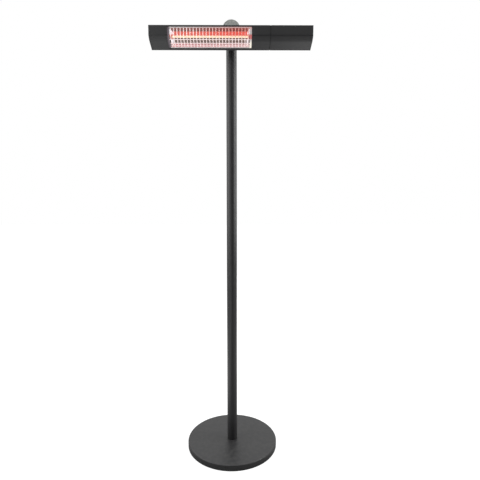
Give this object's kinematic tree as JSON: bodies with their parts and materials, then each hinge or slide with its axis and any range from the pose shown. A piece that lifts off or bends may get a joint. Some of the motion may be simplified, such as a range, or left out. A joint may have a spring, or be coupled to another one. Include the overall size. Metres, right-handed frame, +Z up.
{
  "type": "infrared patio heater tower",
  "caption": "Free-standing infrared patio heater: round weighted base, plain pole and a wide tilting head with a tube lamp behind a wire guard.",
  "frame": {"origin": "on the floor under the middle of the pole and base", "axes": "+Z up along the pole, the lamp faces -Y, +X towards the control end of the head"},
  "size_m": [0.716, 0.455, 2.0905],
  "materials": {
    "powder_coat": "matte",
    "cap_plastic": "matte",
    "black_plastic": "satin",
    "grey_plate": "matte",
    "steel": "satin",
    "cast_weight": "rough",
    "rubber": "matte",
    "reflector": "bright",
    "guard": "bright",
    "quartz": "clear",
    "filament": "matte",
    "ceramic": "matte",
    "board": "satin",
    "lead": "matte"
  },
  "bodies": {
    "stand": {"base_cover": "powder_coat", "base_plate": "steel", "base_weight": "cast_weight", "base_feet": "rubber", "base_plate_screws": "steel", "pole_bolt": "steel", "pole_bolt_washer": "steel", "pole_foot_plug": "steel", "pole": "powder_coat", "pole_cap": "black_plastic", "front_saddle": "powder_coat", "rear_saddle": "powder_coat", "mount_disc": "grey_plate", "saddle_bolts": "steel", "saddle_nuts": "steel", "fork_bracket": "powder_coat", "hinge_bolt": "steel", "hinge_washers": "black_plastic", "knob_washer": "steel"},
    "head": {"head_bracket": "powder_coat", "head_bracket_screws": "steel", "head_bracket_nuts": "steel", "head_housing": "powder_coat", "control_housing": "powder_coat", "joint_collar": "steel", "seam_gasket": "rubber", "end_cap_left": "cap_plastic", "end_cap_right": "cap_plastic", "end_cap_screws": "steel", "window_frame": "reflector", "guard_wires": "guard", "guard_rods": "guard", "reflector": "reflector", "reflector_posts": "steel", "reflector_end_left": "reflector", "reflector_end_right": "reflector", "lamp_tube": "quartz", "filament": "filament", "lamp_ceramic_left": "ceramic", "lamp_ceramic_right": "ceramic", "lamp_clip_left": "steel", "lamp_clip_right": "steel", "heat_shield": "steel", "control_board": "board", "board_standoffs": "black_plastic", "board_parts": "black_plastic", "terminal_block": "ceramic", "cord_gland": "black_plastic", "gland_nut": "black_plastic", "lamp_leads": "lead", "switch_frame": "black_plastic"},
    "clamp_knob": {"clamp_knob": "black_plastic"},
    "rocker": {"rocker": "black_plastic"}
  },
  "joints": [
    {"name": "head_tilt", "type": "hinge", "parent": "stand", "child": "head", "pos_m": [0, -0.056, 1.992], "axis": [1, 0, 0], "range_deg": [-35, 30]},
    {"name": "knob_turn", "type": "hinge", "parent": "stand", "child": "clamp_knob", "pos_m": [0.043, -0.056, 1.992], "axis": [1, 0, 0], "range_deg": [0, 360]},
    {"name": "rocker_switch", "type": "hinge", "parent": "head", "child": "rocker", "pos_m": [0.3495, -0.11, 1.986], "axis": [0, 1, 0], "range_deg": [-16, 0]}
  ]
}
